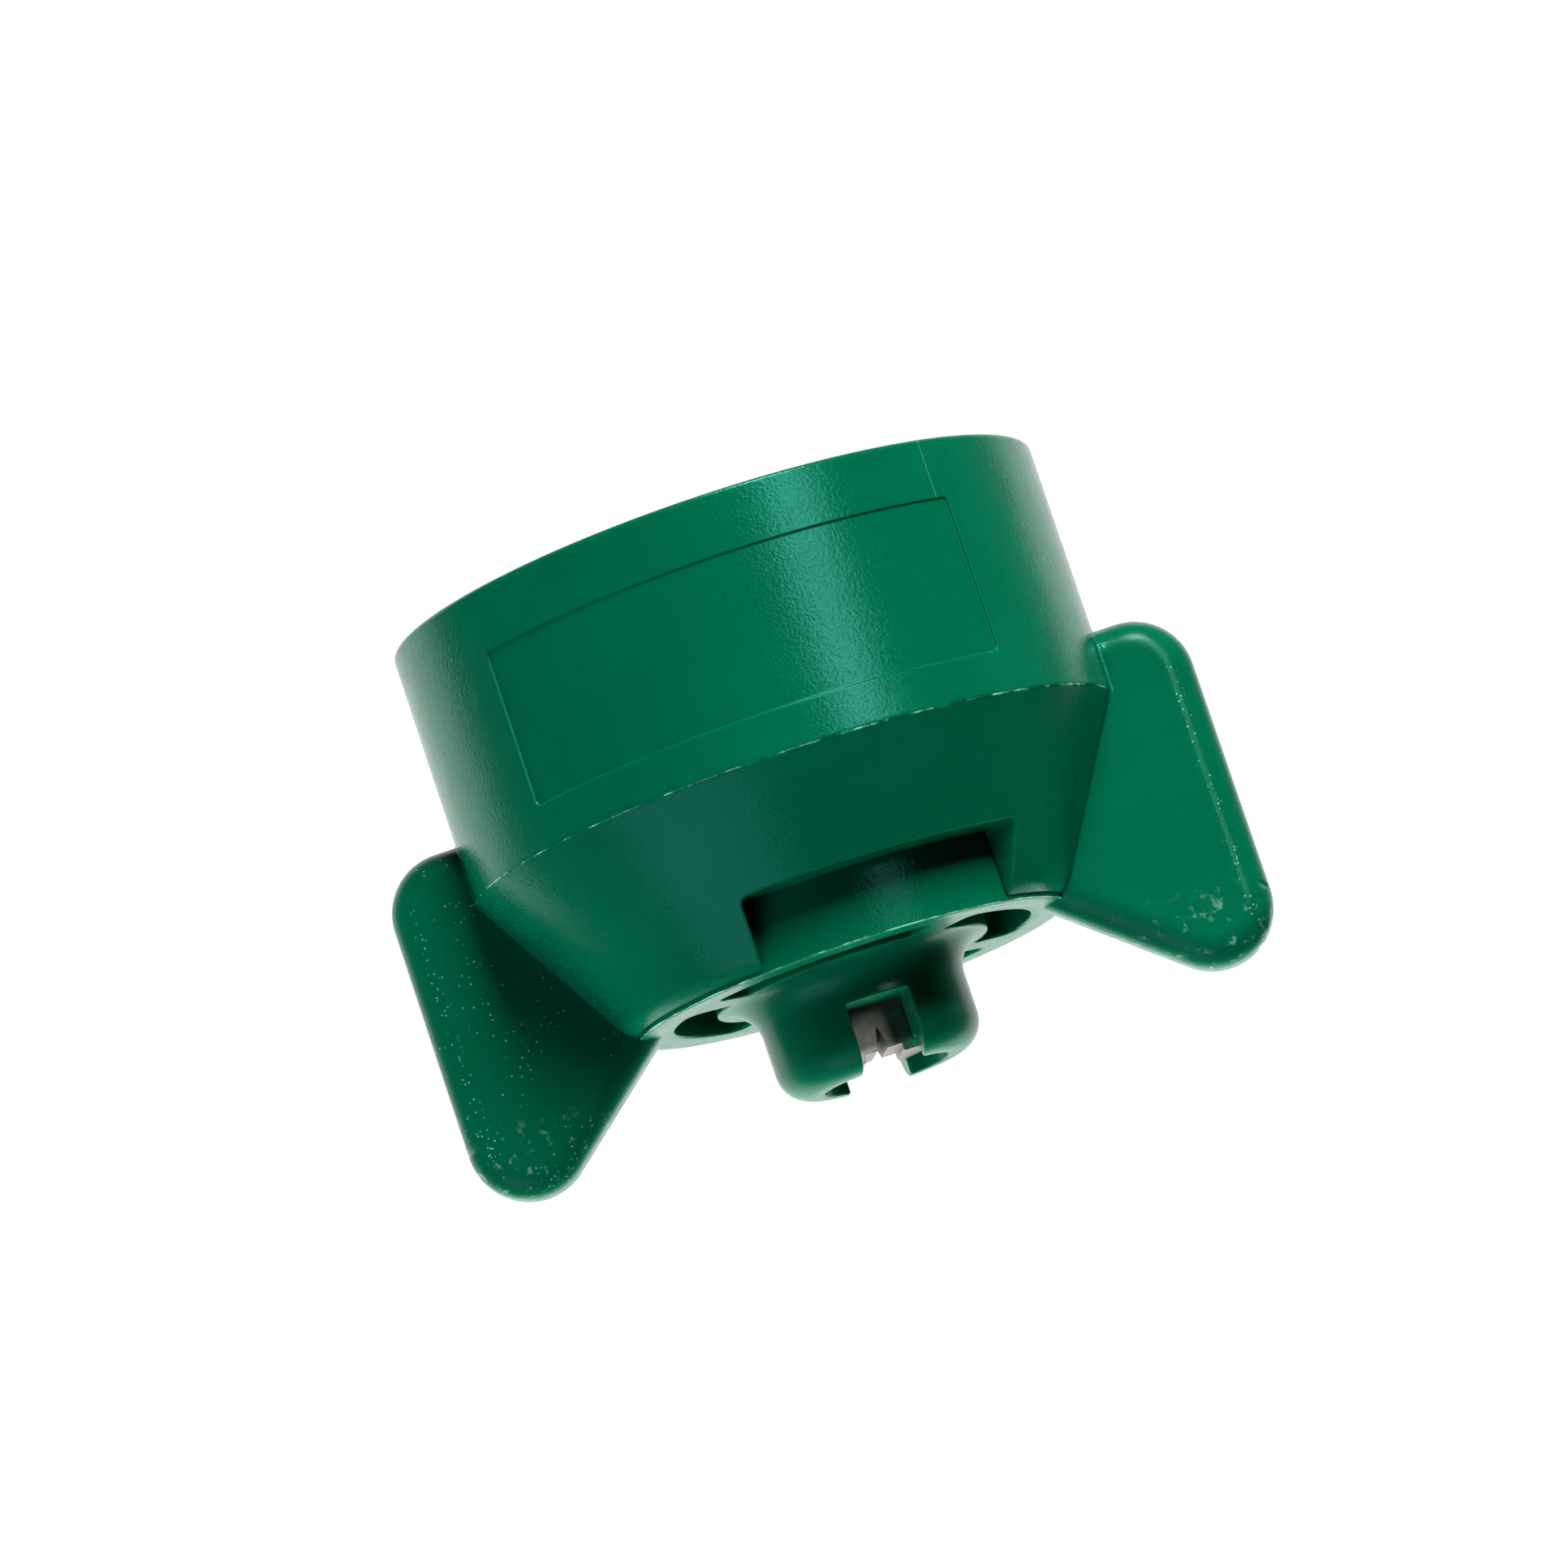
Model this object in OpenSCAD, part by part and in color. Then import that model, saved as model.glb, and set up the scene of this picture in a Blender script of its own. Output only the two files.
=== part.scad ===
// Bayonet cap for a sprayer's nozzle body, with a flat-fan spray tip built into it.
// The origin is the centre of the open rim. +Z points out of the socket, towards the spray body
// that the cap twists onto, and the spray leaves towards -Z. The two wings lie along X.
// The cap is the same when it is turned by half a turn about Z.

/* [Cap] */
// Outer diameter of the skirt
cap_d = 35; // [34.6:0.2:37]
// Height of the cylindrical skirt
skirt_h = 13.8; // [13.4:0.1:15]
// Height of the cone below the skirt
cone_h = 9.5; // [9.3:0.1:10.5]
// Outer diameter of the cone at its small end
cone_end_d = 23.9; // [23.8:0.1:24.6]
// Diameter of the socket's mouth, above the lugs
mouth_d = 28.8; // [28.6:0.1:29.4]
// Diameter of the socket below its mouth
socket_d = 28.4; // [27.8:0.1:28.5]
// Diameter of the bore that the tip body sits in
tip_bore_d = 23.4; // [23.3:0.1:23.5]

/* [Bayonet] */
// Diameter of the clear circle between the two lugs
lug_clear_d = 25; // [24.8:0.1:25.6]
// Distance from the rim to the top of the lugs
lug_depth = 3; // [2.6:0.1:3.6]
// Thickness of a lug at its middle
lug_h = 3; // [2.6:0.1:3.4]
// Slope of the underside of a lug, in degrees
lug_ramp = 3; // [1:0.5:4]

/* [Wings] */
// Distance across the two wings
wing_span = 43.8; // [42.8:0.2:46]
// Thickness of a wing
wing_t = 4.4; // [4:0.2:5]
// Radius of the rounded wing edges
wing_edge_r = 1.7; // [1.4:0.1:1.9]
// Distance from the rim to the top of the wings
wing_top = 10.4; // [9.6:0.2:11]
// Distance from the rim to the lowest point of the wings
wing_bottom = 29.25; // [28.65:0.2:30.65]

/* [Windows and label panels] */
// Height of the windows in the cone, from its small end
window_h = 3.85; // [3.4:0.05:4.2]
// Distance from the middle plane to the straight side of a window
window_side = 4.1; // [3.7:0.1:4.5]
// Angle of the radial side of a window, from the X axis
window_angle = 41.6; // [38:0.2:46]
// Height of the label panels
label_h = 8.35; // [7.6:0.05:8.6]
// Distance from the rim to the label panels
label_top = 3.25; // [2.75:0.25:3.75]
// Angle that a label panel covers, in degrees
label_span = 90; // [80:1:96]
// Depth of the label panels
label_depth = 0.3; // [0.2:0.05:0.5]

/* [Tip body] */
// Diameter of the nose
nose_d = 11; // [10.6:0.1:11.6]
// Length of the nose below the end disc
nose_l = 5.55; // [5.35:0.05:5.95]
// Width of the spray slot across the nose
slot_w = 3.3; // [3.1:0.1:3.6]
// Depth of the spray slot from the end of the nose
slot_h = 3.45; // [3.25:0.05:3.65]
// Turn of the spray slot away from the Y axis, in degrees
slot_turn = 9; // [6:0.5:12]
// Diameter of the dished bore in the end of the nose
dish_d = 6.7; // [6.3:0.1:6.9]
// Outer diameter of the boss between the nose and the end pockets
boss_d = 14.8; // [14.4:0.1:15.2]
// Outer diameter of the end pockets
pocket_d = 19.5; // [19.1:0.1:20]
// Angle covered by the rib between two end pockets, in degrees
rib_span = 14.4; // [10:0.4:20]
// Turn of the first rib away from the X axis, in degrees
rib_turn = 36.5; // [30:0.5:45]

/* [Orifice insert] */
// Diameter of the insert barrel
insert_d = 4.7; // [4.6:0.1:4.8]
// Thickness of the insert between its front and back flats
insert_t = 3.4; // [3.2:0.1:3.6]
// Width of the channel across the end of the insert
channel_w = 2.06; // [1.9:0.02:2.3]
// Width of the V groove at the floor of the channel
groove_w = 0.55; // [0.45:0.05:0.8]
// Depth of the V groove
groove_h = 1.2; // [1.1:0.05:1.3]

/* [Gasket] */
// Outer diameter of the gasket
gasket_d = 24.4; // [24:0.1:24.4]
// Inner diameter of the gasket
gasket_hole_d = 12.4; // [12:0.2:14]
// Thickness of the gasket
gasket_t = 3; // [2.6:0.1:3.2]

/* [Hidden] */
$fn = 96;
bore_fn = 128;
hull_fn = 32;
eps = 0.05;

green = "#00654b";
steel = "#6f6d68";
black = "#1b1b1c";

cap_r = cap_d / 2;
mouth_r = mouth_d / 2;
socket_r = socket_d / 2;
lug_r = lug_clear_d / 2;
boss_r = boss_d / 2;
pocket_r = pocket_d / 2;
nose_r = nose_d / 2;

// Heights, downwards from the rim
z_mouth = 0.2 - lug_depth;
z_skirt = -skirt_h;
z_disc = z_skirt - cone_h;
z_nose = z_disc - nose_l;
z_floor = -12.6;
z_seat = -14.6;
z_ledge = -16;

// Cone edge: the slope of the cone and the round where it meets the end
cone_end_r = cone_end_d / 2;
cone_slope = atan((cap_r - cone_end_r) / cone_h);
end_round = 1;
end_tangent = end_round * tan((90 - cone_slope) / 2);
rim_round = 0.5;

// Gasket pocket: the flange of the tip body is fixed in it, and the gasket drops in loosely
pocket_clear = 0.4;
gasket_pocket_r = gasket_d / 2 + pocket_clear;
flange_r = gasket_pocket_r - 0.03;
collar_r = tip_bore_d / 2 - 0.1;
rim_step_r = 10.8;
rim_step_h = 0.15;

// Wing outline, in the XZ plane of the wing at +X: two rounded corners, and two roots in the cap
wing_top_r = 3.3;
wing_tip_r = 3.15;
wing_x = wing_span / 2;
wing_slope = 40;
wing_root_l = 9.4;
wing_sink = 1.5;
top_corner = [wing_x - wing_top_r, -wing_top - wing_top_r];
tip_corner = [wing_x - wing_tip_r, -wing_bottom + wing_tip_r];
edge_out = [-sin(wing_slope), -cos(wing_slope)];
edge_in = [-cos(wing_slope), sin(wing_slope)];
root_low = tip_corner + (wing_tip_r - wing_edge_r) * edge_out + wing_root_l * edge_in;
root_top = [cap_r - wing_sink, -wing_top - wing_edge_r];

// Windows start this far from the axis, inside the wall of the tip's bore
window_in = 5;

// Bayonet lugs: each starts at this angle, and has a stop at its first end
lug_start = -110;
lug_span = 68;
lug_sink = 0.4;
stop_span = 7;
stop_h = 2.4;
ramp_room = 1;

// Tip body details
boss_land = 0.1;
flare_r = boss_r - nose_r - boss_land;
nose_round = 1.7;
dish_h = 1.2;
pocket_h = 5.8;
inlet_r = 6;
inlet_floor = -19;
throat_r = 3.45;
throat_z = -21.5;
insert_seat = -22.4;

// Insert details: two lands with a channel between them, and a V groove across the channel's floor
insert_r = insert_d / 2;
head_r = throat_r - 0.02;
flow_r = 1.2;
flow_end = -25.8;
slot_z = z_nose + slot_h;
land_z = z_nose + 0.75;
channel_z = land_z + 0.4;
groove_z = channel_z + groove_h;

// What is left of a square corner outside a round of radius r
module corner_left(r) {
  difference() {
    square(r);
    circle(r);
  }
}

// A ring from radius r0 to r1 and from z0 to z1, over an angle that starts at a0
module ring_part(r0, r1, z0, z1, a0, span) {
  rotate([0, 0, a0])
    rotate_extrude(angle = span, $fn = bore_fn)
      translate([r0, z0])
        square([r1 - r0, z1 - z0]);
}

module half_turn_pair() {
  children();
  rotate([0, 0, 180])
    children();
}

// ---- cap shell ----

// Half of the outer section: skirt, cone and the rounded edge at the small end
module outer_section() {
  difference() {
    polygon([[0, 0], [cap_r, 0], [cap_r, z_skirt], [cone_end_r, z_disc], [0, z_disc]]);
    translate([cap_r - rim_round, -rim_round])
      corner_left(rim_round);
    difference() {
      polygon([
        [cone_end_r + eps, z_disc - eps],
        [cone_end_r - end_tangent, z_disc - eps],
        [cone_end_r - end_tangent, z_disc],
        [cone_end_r + end_tangent * sin(cone_slope), z_disc + end_tangent * cos(cone_slope)],
        [cone_end_r + end_tangent * sin(cone_slope) + eps, z_disc + end_tangent * cos(cone_slope)]
      ]);
      translate([cone_end_r - end_tangent, z_disc + end_round])
        circle(end_round);
    }
  }
}

// The hollow of the cap: mouth, socket, gasket pocket, and the bore for the tip body
module cavity_section() {
  translate([0, z_mouth])
    square([mouth_r, -z_mouth + 1]);
  translate([0, z_floor])
    square([socket_r, z_mouth - z_floor + eps]);
  translate([0, z_ledge])
    square([gasket_pocket_r, z_floor - z_ledge + eps]);
  translate([0, z_disc - 1])
    square([tip_bore_d / 2, z_ledge - z_disc + 1 + eps]);
}

// One rounded corner of a wing: a disc with a round edge, lying in the XZ plane
module wing_corner(at, r) {
  for (side = [-1, 1])
    translate([at[0], side * (wing_t / 2 - wing_edge_r), at[1]])
      rotate([90, 0, 0])
        rotate_extrude($fn = hull_fn)
          intersection() {
            translate([r - wing_edge_r, 0])
              circle(wing_edge_r, $fn = hull_fn);
            translate([0, -wing_edge_r])
              square([r, 2 * wing_edge_r]);
          }
}

module wing() {
  hull() {
    wing_corner(top_corner, wing_top_r);
    wing_corner(tip_corner, wing_tip_r);
    wing_corner(root_low, wing_edge_r);
    wing_corner(root_top, wing_edge_r);
  }
}

// A window is cut from the end of the cone: one side is square to X, the other runs to the axis
module window_cut() {
  reach = cap_r + 2;
  translate([0, 0, z_disc - 1])
    linear_extrude(window_h + 1)
      polygon([
        [-window_side, -window_in],
        [-window_side, -reach],
        [reach * cos(window_angle), -reach],
        [reach * cos(window_angle), -reach * sin(window_angle)],
        [window_in * cos(window_angle), -window_in * sin(window_angle)]
      ]);
}

module label_cut() {
  ring_part(cap_r - label_depth, cap_r + 1, -label_top - label_h, -label_top, -90 - label_span / 2, label_span);
}

// Inward lug of the bayonet, with a sloping underside and a stop at its end
module bayonet_lug() {
  lug_out = socket_r + lug_sink;
  lug_low = -lug_depth - lug_h - ramp_room;
  difference() {
    ring_part(lug_r, lug_out, lug_low, -lug_depth, lug_start, lug_span);
    rotate([0, 0, lug_start + lug_span / 2])
      translate([0, 0, -lug_depth - lug_h])
        rotate([lug_ramp, 0, 0])
          translate([0, -cap_r, -3 * ramp_room])
            cube([cap_r, cap_d, 3 * ramp_room]);
  }
  ring_part(lug_r, lug_out, lug_low - stop_h, -lug_depth, lug_start, stop_span);
}

module cap_shell() {
  color(green)
    union() {
      difference() {
        union() {
          rotate_extrude($fn = bore_fn)
            outer_section();
          half_turn_pair()
            wing();
        }
        rotate_extrude($fn = bore_fn)
          cavity_section();
        half_turn_pair() {
          window_cut();
          label_cut();
        }
      }
      half_turn_pair()
        bayonet_lug();
    }
}

// ---- tip body ----

// Outer half section: nose, flared boss, end disc, collar and seat flange
module tip_section() {
  difference() {
    union() {
      translate([0, z_nose])
        square([nose_r, nose_l + eps]);
      translate([nose_r + flare_r, z_disc - flare_r])
        mirror([1, 0])
          corner_left(flare_r);
      translate([0, z_disc])
        square([rim_step_r, rim_step_h + eps]);
      translate([0, z_disc + rim_step_h])
        square([collar_r, z_ledge - z_disc - rim_step_h + eps]);
      translate([0, z_ledge])
        square([flange_r, z_seat - z_ledge]);
    }
    translate([nose_r - nose_round, z_nose + nose_round])
      mirror([0, 1])
        corner_left(nose_round);
  }
}

// The way through: inlet, taper, seat of the insert, its barrel bore and the dish in the nose
module tip_passage() {
  translate([0, 0, inlet_floor])
    cylinder(h = z_seat - inlet_floor + 1, r = inlet_r);
  translate([0, 0, throat_z])
    cylinder(h = inlet_floor - throat_z + 0.01, r1 = throat_r, r2 = inlet_r);
  translate([0, 0, insert_seat])
    cylinder(h = throat_z - insert_seat + 0.01, r = throat_r);
  translate([0, 0, z_nose - 1])
    cylinder(h = insert_seat - z_nose + 1.01, r = insert_r + 0.01);
  translate([0, 0, z_nose - 1])
    cylinder(h = dish_h + 1, r = dish_d / 2);
}

module tip_body() {
  color(green)
    difference() {
      rotate_extrude($fn = bore_fn)
        tip_section();
      tip_passage();
      for (k = [0:3])
        ring_part(
          boss_r, pocket_r, z_disc - 1, z_disc + pocket_h,
          rib_turn + rib_span / 2 + 90 * k, 90 - rib_span
        );
      rotate([0, 0, slot_turn])
        translate([-slot_w / 2, -nose_r - 1, z_nose - 1])
          cube([slot_w, nose_d + 2, slot_h + 1]);
    }
}

// ---- orifice insert ----

module orifice_insert() {
  flat_cut = insert_d;
  color(steel)
    rotate([0, 0, slot_turn])
      difference() {
        union() {
          translate([0, 0, insert_seat])
            cylinder(h = throat_z - insert_seat, r = head_r);
          translate([0, 0, land_z])
            cylinder(h = insert_seat - land_z + 0.01, r = insert_r);
        }
        translate([0, 0, flow_end])
          cylinder(h = throat_z - flow_end + 1, r = flow_r);
        translate([0, 0, flow_end])
          sphere(flow_r);
        for (side = [-1, 1])
          translate([-insert_d, side * (insert_t + flat_cut) / 2 - flat_cut / 2, land_z - 1])
            cube([2 * insert_d, flat_cut, slot_z - land_z + 1]);
        translate([-channel_w / 2, -insert_d, land_z - 1])
          cube([channel_w, 2 * insert_d, channel_z - land_z + 1]);
        translate([0, insert_d, 0])
          rotate([90, 0, 0])
            linear_extrude(2 * insert_d)
              polygon([[-groove_w / 2, channel_z - 0.01], [groove_w / 2, channel_z - 0.01], [0, groove_z]]);
      }
}

// ---- gasket ----

module seat_gasket() {
  gasket_r = gasket_d / 2;
  gasket_round = 0.4;
  color(black)
    rotate_extrude($fn = bore_fn)
      difference() {
        translate([gasket_hole_d / 2, z_seat])
          square([gasket_r - gasket_hole_d / 2, gasket_t]);
        translate([gasket_r - gasket_round, z_seat + gasket_t - gasket_round])
          corner_left(gasket_round);
        translate([gasket_r - gasket_round, z_seat + gasket_round])
          mirror([0, 1])
            corner_left(gasket_round);
      }
}

cap_shell();
tip_body();
orifice_insert();
seat_gasket();
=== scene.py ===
import math
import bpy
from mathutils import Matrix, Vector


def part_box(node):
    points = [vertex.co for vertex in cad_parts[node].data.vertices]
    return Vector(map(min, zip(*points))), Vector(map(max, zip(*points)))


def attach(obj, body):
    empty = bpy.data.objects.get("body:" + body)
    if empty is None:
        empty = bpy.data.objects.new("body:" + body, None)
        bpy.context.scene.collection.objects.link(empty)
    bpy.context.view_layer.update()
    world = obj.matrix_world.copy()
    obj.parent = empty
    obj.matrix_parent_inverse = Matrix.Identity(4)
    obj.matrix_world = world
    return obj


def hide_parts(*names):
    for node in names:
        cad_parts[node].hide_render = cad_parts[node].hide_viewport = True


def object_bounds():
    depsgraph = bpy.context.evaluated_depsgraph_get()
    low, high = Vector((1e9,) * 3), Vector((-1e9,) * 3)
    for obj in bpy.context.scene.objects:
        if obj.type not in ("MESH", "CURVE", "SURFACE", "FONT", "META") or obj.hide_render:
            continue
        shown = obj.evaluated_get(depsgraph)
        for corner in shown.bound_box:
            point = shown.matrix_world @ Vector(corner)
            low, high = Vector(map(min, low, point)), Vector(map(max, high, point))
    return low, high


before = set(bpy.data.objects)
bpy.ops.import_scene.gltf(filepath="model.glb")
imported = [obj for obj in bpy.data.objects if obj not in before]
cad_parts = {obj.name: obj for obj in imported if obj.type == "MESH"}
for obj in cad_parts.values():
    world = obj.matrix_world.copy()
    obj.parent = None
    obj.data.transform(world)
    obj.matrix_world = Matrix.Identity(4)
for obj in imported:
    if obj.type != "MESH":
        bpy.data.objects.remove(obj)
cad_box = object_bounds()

from concurrent.futures import ThreadPoolExecutor

import bpy
import numpy as np
from mathutils import Matrix, Vector

# A green bayonet spray cap. Every piece is modelled as a distance function, so that its outer edges
# get the small round of a real moulding, and is then meshed, thinned and given the exact normals.
# Lengths are in millimetres, and MM turns them into Blender's metres. The floor, the lamps, the
# camera's clipping distances and the reach of light inside the plastic are in metres already.

MM = 0.001


def corners_mm(node):
    """Lowest and highest corner of a CAD node, in millimetres."""
    low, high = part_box(node)
    return low / MM, high / MM


# ---------------------------------------------------------------- dimensions

cap_low, cap_high = corners_mm("cap_shell")
tip_low, tip_high = corners_mm("tip_body")
insert_low, insert_high = corners_mm("orifice_insert")
gasket_low, gasket_high = corners_mm("seat_gasket")

# Cap: the skirt's radius is its reach along Y, and the wings' span is its reach along X
CAP_R = cap_high.y
Z_SKIRT = -13.8
Z_DISC = -23.3
CONE_END_R = 11.95
CONE_SLOPE = math.atan((CAP_R - CONE_END_R) / (Z_SKIRT - Z_DISC))
RIM_ROUND = 0.22
SKIRT_ROUND = 0.08
FLASH_R = 0.05           # radius of the flash line on the skirt's lower edge, and its unevenness
FLASH_UNEVEN = 0.03
END_ROUND = 1.0
MOUTH_R = 14.4
Z_MOUTH = -2.8
SOCKET_R = 14.2
POCKET_R = 12.6
BORE_R = 11.7
Z_FLOOR = -12.6
Z_LEDGE = -16.0
MOUTH_CHAMFER = 0.35
LUG_SINK = 0.4           # how far the lugs reach into the socket's wall
TOE_BEDDING = 0.12       # how far the wings' toes reach past the cap's end, into the disc

# Wings: outline corners in the XZ plane, rounded by WING_CORNER_R. Their tips are worn, out from
# WEAR_X and down from WEAR_Z.
WING_X = cap_high.x
WING_ROOT_X = CAP_R * 0.4
WING_TOP = -10.4
WING_LOW = cap_low.z
WING_CORNER_R = 3.2
WING_SLOPE = math.radians(40)
WING_T = 4.4
WING_EDGE_R = 1.7
WING_FILLET = 0.13
WEAR_X = 19.6
WEAR_Z = -24.5
WEAR_DEPTH = 0.12

# Windows and label panels
WINDOW_SIDE = 4.1
WINDOW_ANGLE = math.radians(41.6)
WINDOW_START = 3.125      # a window is cut from this far off the middle plane, inside the bore
Z_WINDOW = Z_DISC + 3.85
WINDOW_CORNER_R = 0.6
LABEL_TOP = -3.25
LABEL_H = 8.35
LABEL_HALF = math.radians(45)
LABEL_DEPTH = 0.11
LABEL_CORNER_R = 0.3

# Bayonet lugs
LUG_R = 12.5
LUG_TOP = -3.0
LUG_LOW = -6.0
LUG_MIDDLE = math.radians(-76)
LUG_HALF = math.radians(34)
LUG_RAMP = math.radians(3)
STOP_SPAN = math.radians(7)
STOP_LOW = -9.4

# Tip body
Z_NOSE = tip_low.z
Z_SEAT = tip_high.z
FLANGE_R = tip_high.y
COLLAR_R = BORE_R - 0.01
STEP_R = 11.5
STEP_H = 0.03
NOSE_R = 5.5
NOSE_ROUND = 1.7
BOSS_R = 7.4
FLARE_R = 1.8
PIT_R = 9.75
PIT_H = 5.8
PIT_CORNER_R = 0.7
RIB_TURN = math.radians(36.5)
RIB_HALF = math.radians(7.2)
SLOT_TURN = math.radians(9)
SLOT_W = 3.3
Z_SLOT = Z_NOSE + 3.45
DISH_R = 3.35
DISH_H = 1.2
INLET_R = 6.0
Z_INLET = -19.0
THROAT_R = 3.45
Z_THROAT = -21.5
Z_INSERT = -22.4

# Orifice insert
INSERT_R = 2.35
HEAD_R = THROAT_R - 0.02
INSERT_T = 3.4
FLOW_R = 1.2
Z_FLOW = -25.8
Z_LAND = insert_low.z
Z_CHANNEL = Z_LAND + 0.4
CHANNEL_W = 2.06
GROOVE_W = 0.55
GROOVE_H = 1.2

# Gasket
GASKET_R = gasket_high.x
GASKET_HOLE_R = 6.2
GASKET_ROUND = 0.4


# ---------------------------------------------------------------- distance functions

def round_max(a, b, r):
    """Where both a and b are inside, with the edge between them rounded by r."""
    over_a, over_b = np.maximum(a + r, 0), np.maximum(b + r, 0)
    return np.minimum(np.maximum(a, b), -r) + np.sqrt(over_a * over_a + over_b * over_b)


def round_min(a, b, r):
    """Where a or b is inside, with a fillet of radius r between them."""
    return -round_max(-a, -b, r)


def polygon_distance(x, y, points):
    """Signed distance to a convex polygon whose corners go round anticlockwise."""
    nearest = np.full(np.shape(x), np.inf)
    outside = np.full(np.shape(x), -np.inf)
    for (x0, y0), (x1, y1) in zip(points, points[1:] + points[:1]):
        ex, ey = x1 - x0, y1 - y0
        px, py = x - x0, y - y0
        t = np.clip((px * ex + py * ey) / (ex * ex + ey * ey), 0, 1)
        nearest = np.minimum(nearest, np.hypot(px - t * ex, py - t * ey))
        outside = np.maximum(outside, (px * ey - py * ex) / math.hypot(ex, ey))
    return np.where(outside > 0, nearest, -nearest)


def wing_outline():
    """Corners of the wing's outline, set in by WING_CORNER_R: tip, top, and two roots in the cap."""
    x = WING_X - WING_CORNER_R
    tip = (x, WING_LOW + WING_CORNER_R)
    top = (x, WING_TOP - WING_CORNER_R)
    rise = (tip[0] - WING_ROOT_X) * math.tan(WING_SLOPE)
    return [tip, top, (WING_ROOT_X, top[1]), (WING_ROOT_X, tip[1] + rise)]


def wing_distance(x, y, z):
    """Both wings, with shallow nicks worn into their outer low ends."""
    flat = polygon_distance(np.abs(x), z, wing_outline()) - WING_CORNER_R
    waves = np.sin(3.1 * x + 1.1 * y) + np.sin(3.7 * z - 1.9 * y + 1) + np.sin(2.3 * y + 5.3 * z + 1.9 * x)
    worn = np.clip((np.abs(x) - WEAR_X) / 2, 0, 1) * np.clip((WEAR_Z - z) / 2, 0, 1)
    blade = round_max(flat, np.abs(y) - WING_T / 2, WING_EDGE_R)
    return blade + WEAR_DEPTH * worn * np.clip(waves - 1.3, 0, 1)


def half_turned(x, y):
    """x and y with the back half turned to the front, for what repeats after half a turn."""
    side = np.where(y > 0, -1.0, 1.0)
    return x * side, y * side


def window_distance(x, y, z):
    """The window in the cone: one side is square to X, the other runs to the axis."""
    left = -WINDOW_SIDE - x
    right = x * math.sin(WINDOW_ANGLE) + y * math.cos(WINDOW_ANGLE)
    top = z - Z_WINDOW
    opening = round_max(round_max(left, top, WINDOW_CORNER_R), right, 0.1)
    opening = round_max(opening, top, 0.3)
    return np.maximum(opening, y + WINDOW_START)


def label_distance(x, y, z, r):
    """The bare, shallow label panel in the skirt."""
    across = np.abs(np.arctan2(x, -y)) - LABEL_HALF
    up = np.abs(z - LABEL_TOP + LABEL_H / 2) - LABEL_H / 2
    panel = round_max(across * CAP_R, up, LABEL_CORNER_R)
    return round_max(panel, CAP_R - LABEL_DEPTH - r, 0.04)


def lug_distance(x, y, z, r):
    """The inward bayonet lug, with a sloping underside and a stop at one end."""
    turn = np.arctan2(y, x) - LUG_MIDDLE
    low = LUG_LOW + math.tan(LUG_RAMP) * r * np.sin(turn)
    ring = np.maximum(LUG_R - r, r - SOCKET_R - LUG_SINK)
    lug = round_max(np.maximum((np.abs(turn) - LUG_HALF) * LUG_R, low - z), z - LUG_TOP, 0.25)
    stop_turn = np.abs(turn + LUG_HALF - STOP_SPAN / 2) - STOP_SPAN / 2
    stop = np.maximum(stop_turn * LUG_R, np.maximum(STOP_LOW - z, z - LUG_TOP))
    return round_max(np.minimum(lug, stop), ring, 0.25)


def flash_distance(x, y, z, r):
    """The thin uneven line of flash that the mould left round the skirt's lower edge."""
    turn = np.arctan2(y, x)
    uneven = 0.35 + 0.45 * np.sin(23 * turn + 1) + 0.4 * np.sin(61 * turn + 2) + 0.3 * np.sin(137 * turn)
    thick = FLASH_R + FLASH_UNEVEN * np.clip(uneven, 0, 1)
    return np.maximum(np.hypot(r - CAP_R + FLASH_R, z - Z_SKIRT) - thick, r - CAP_R)


def cap_distance(x, y, z):
    """The cap: skirt and cone, less the hollow, with wings, windows, panels and lugs."""
    r = np.hypot(x, y)
    cone = (r - CAP_R) * math.cos(CONE_SLOPE) + (Z_SKIRT - z) * math.sin(CONE_SLOPE)
    body = round_max(r - CAP_R, cone, SKIRT_ROUND)
    body = np.minimum(body, flash_distance(x, y, z, r))
    body = round_max(body, z, RIM_ROUND)
    body = round_max(body, Z_DISC - z, END_ROUND)
    socket = np.maximum(r - SOCKET_R, Z_FLOOR - z)
    pocket = np.maximum(r - POCKET_R, Z_LEDGE - z)
    mouth = np.maximum(r - MOUTH_R, Z_MOUTH - z)
    chamfer = (r - MOUTH_R - MOUTH_CHAMFER - z) * math.sqrt(0.5)
    hollow = np.minimum(np.minimum(socket, mouth), np.minimum(pocket, chamfer))
    body = round_max(body, -np.minimum(hollow, r - BORE_R), 0.03)
    bore = np.maximum(r - BORE_R, Z_DISC + TOE_BEDDING - z)
    wing = np.maximum(wing_distance(x, y, z), -np.minimum(hollow, bore))
    body = round_min(body, wing, WING_FILLET)
    x, y = half_turned(x, y)
    body = round_max(body, -window_distance(x, y, z), 0.14)
    body = round_max(body, -label_distance(x, y, z, r), 0.05)
    return round_min(body, lug_distance(x, y, z, r), 0.2)


def pit_distance(x, y, z, r):
    """The four pockets in the end disc, between the ribs."""
    turn = np.mod(np.arctan2(y, x) - RIB_TURN + math.pi / 4, math.pi / 2) - math.pi / 4
    side = (RIB_HALF - np.abs(turn)) * (BOSS_R + PIT_R) / 2
    ring = round_max(side, r - PIT_R, PIT_CORNER_R)
    ring = round_max(ring, BOSS_R - r, 0.3)
    return round_max(ring, z - Z_DISC - PIT_H, 0.3)


def across_slot(x, y):
    """The coordinate across the spray slot, and the one along it."""
    c, s = math.cos(SLOT_TURN), math.sin(SLOT_TURN)
    return x * c + y * s, y * c - x * s


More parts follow.
